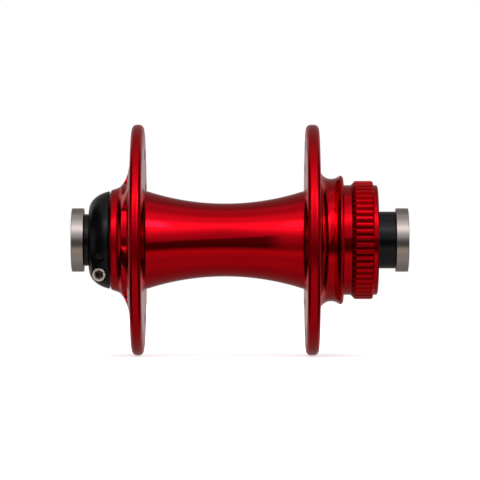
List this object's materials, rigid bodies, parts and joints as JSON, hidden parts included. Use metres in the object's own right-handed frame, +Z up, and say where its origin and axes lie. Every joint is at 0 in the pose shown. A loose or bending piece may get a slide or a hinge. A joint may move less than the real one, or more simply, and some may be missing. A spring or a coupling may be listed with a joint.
{
  "type": "front disc brake hub",
  "caption": "Front bicycle hub for a thru-axle: red flanged shell with a rotor spline, black axle and adjusting clamp, bare-metal end caps.",
  "frame": {"origin": "on the axle's axis, midway between the outer faces of the two end caps", "axes": "+Y along the axle towards the brake rotor's side, +Z up, +X out of the front of the hub"},
  "size_m": [0.0686, 0.1, 0.0686],
  "materials": {
    "red_anodised": "polished, red anodised",
    "black_anodised": "satin, black anodised",
    "bare_metal": "brushed, bare",
    "screw_steel": "plated",
    "bearing_steel": "ground and polished",
    "cage_nylon": "moulded",
    "seal_rubber": "moulded"
  },
  "bodies": {
    "axle_body": {"axle": "black_anodised", "adjusting_cone": "bare_metal", "adjuster_inner_race": "bearing_steel", "disc_inner_race": "bearing_steel"},
    "shell_body": {"hub_shell": "red_anodised", "adjuster_outer_race": "bearing_steel", "adjuster_outer_seal": "seal_rubber", "adjuster_inner_seal": "seal_rubber", "adjuster_snap_ring": "bearing_steel", "disc_outer_race": "bearing_steel", "disc_outer_seal": "seal_rubber", "disc_inner_seal": "seal_rubber", "disc_snap_ring": "bearing_steel"},
    "adjuster_ball_set": {"adjuster_ball_cage": "cage_nylon", "adjuster_ball_01": "bearing_steel", "adjuster_ball_02": "bearing_steel", "adjuster_ball_03": "bearing_steel", "adjuster_ball_04": "bearing_steel", "adjuster_ball_05": "bearing_steel", "adjuster_ball_06": "bearing_steel", "adjuster_ball_07": "bearing_steel", "adjuster_ball_08": "bearing_steel", "adjuster_ball_09": "bearing_steel", "adjuster_ball_10": "bearing_steel", "adjuster_ball_11": "bearing_steel", "adjuster_ball_12": "bearing_steel", "adjuster_ball_13": "bearing_steel", "adjuster_ball_14": "bearing_steel", "adjuster_ball_15": "bearing_steel", "adjuster_ball_16": "bearing_steel"},
    "disc_ball_set": {"disc_ball_cage": "cage_nylon", "disc_ball_01": "bearing_steel", "disc_ball_02": "bearing_steel", "disc_ball_03": "bearing_steel", "disc_ball_04": "bearing_steel", "disc_ball_05": "bearing_steel", "disc_ball_06": "bearing_steel", "disc_ball_07": "bearing_steel", "disc_ball_08": "bearing_steel", "disc_ball_09": "bearing_steel", "disc_ball_10": "bearing_steel", "disc_ball_11": "bearing_steel", "disc_ball_12": "bearing_steel", "disc_ball_13": "bearing_steel", "disc_ball_14": "bearing_steel", "disc_ball_15": "bearing_steel", "disc_ball_16": "bearing_steel"},
    "adjuster_cap_body": {"adjuster_end_cap": "bare_metal", "adjuster_end_cap_o_ring": "seal_rubber"},
    "disc_cap_body": {"disc_end_cap": "bare_metal", "disc_end_cap_o_ring": "seal_rubber"},
    "clamp_body": {"adjusting_clamp": "black_anodised", "clamp_o_ring": "seal_rubber"},
    "pinch_screw_body": {"pinch_screw": "screw_steel"}
  },
  "joints": [
    {"name": "shell_spin", "type": "hinge", "parent": "axle_body", "child": "shell_body", "pos_m": [0, 0, 0], "axis": [0, 1, 0], "continuous": true},
    {"name": "adjuster_balls_orbit", "type": "hinge", "parent": "axle_body", "child": "adjuster_ball_set", "pos_m": [0, -0.0352, 0], "axis": [0, 1, 0], "continuous": true},
    {"name": "disc_balls_orbit", "type": "hinge", "parent": "axle_body", "child": "disc_ball_set", "pos_m": [0, 0.0304, 0], "axis": [0, 1, 0], "continuous": true},
    {"name": "adjuster_cap_pull", "type": "slide", "parent": "axle_body", "child": "adjuster_cap_body", "axis": [0, -1, 0], "range_m": [0, 0.012]},
    {"name": "disc_cap_pull", "type": "slide", "parent": "axle_body", "child": "disc_cap_body", "axis": [0, 1, 0], "range_m": [0, 0.012]},
    {"name": "clamp_turn", "type": "hinge", "parent": "axle_body", "child": "clamp_body", "pos_m": [0, -0.0416, 0], "axis": [0, 1, 0], "range_deg": [0, 480]},
    {"name": "pinch_screw_turn", "type": "hinge", "parent": "clamp_body", "child": "pinch_screw_body", "pos_m": [0, -0.0416, -0.0102], "axis": [1, 0, 0], "range_deg": [0, 540]}
  ],
  "couplings": [
    {"joint": "adjuster_balls_orbit", "follows": "shell_spin", "ratio": 0.5553},
    {"joint": "disc_balls_orbit", "follows": "shell_spin", "ratio": 0.5553}
  ]
}
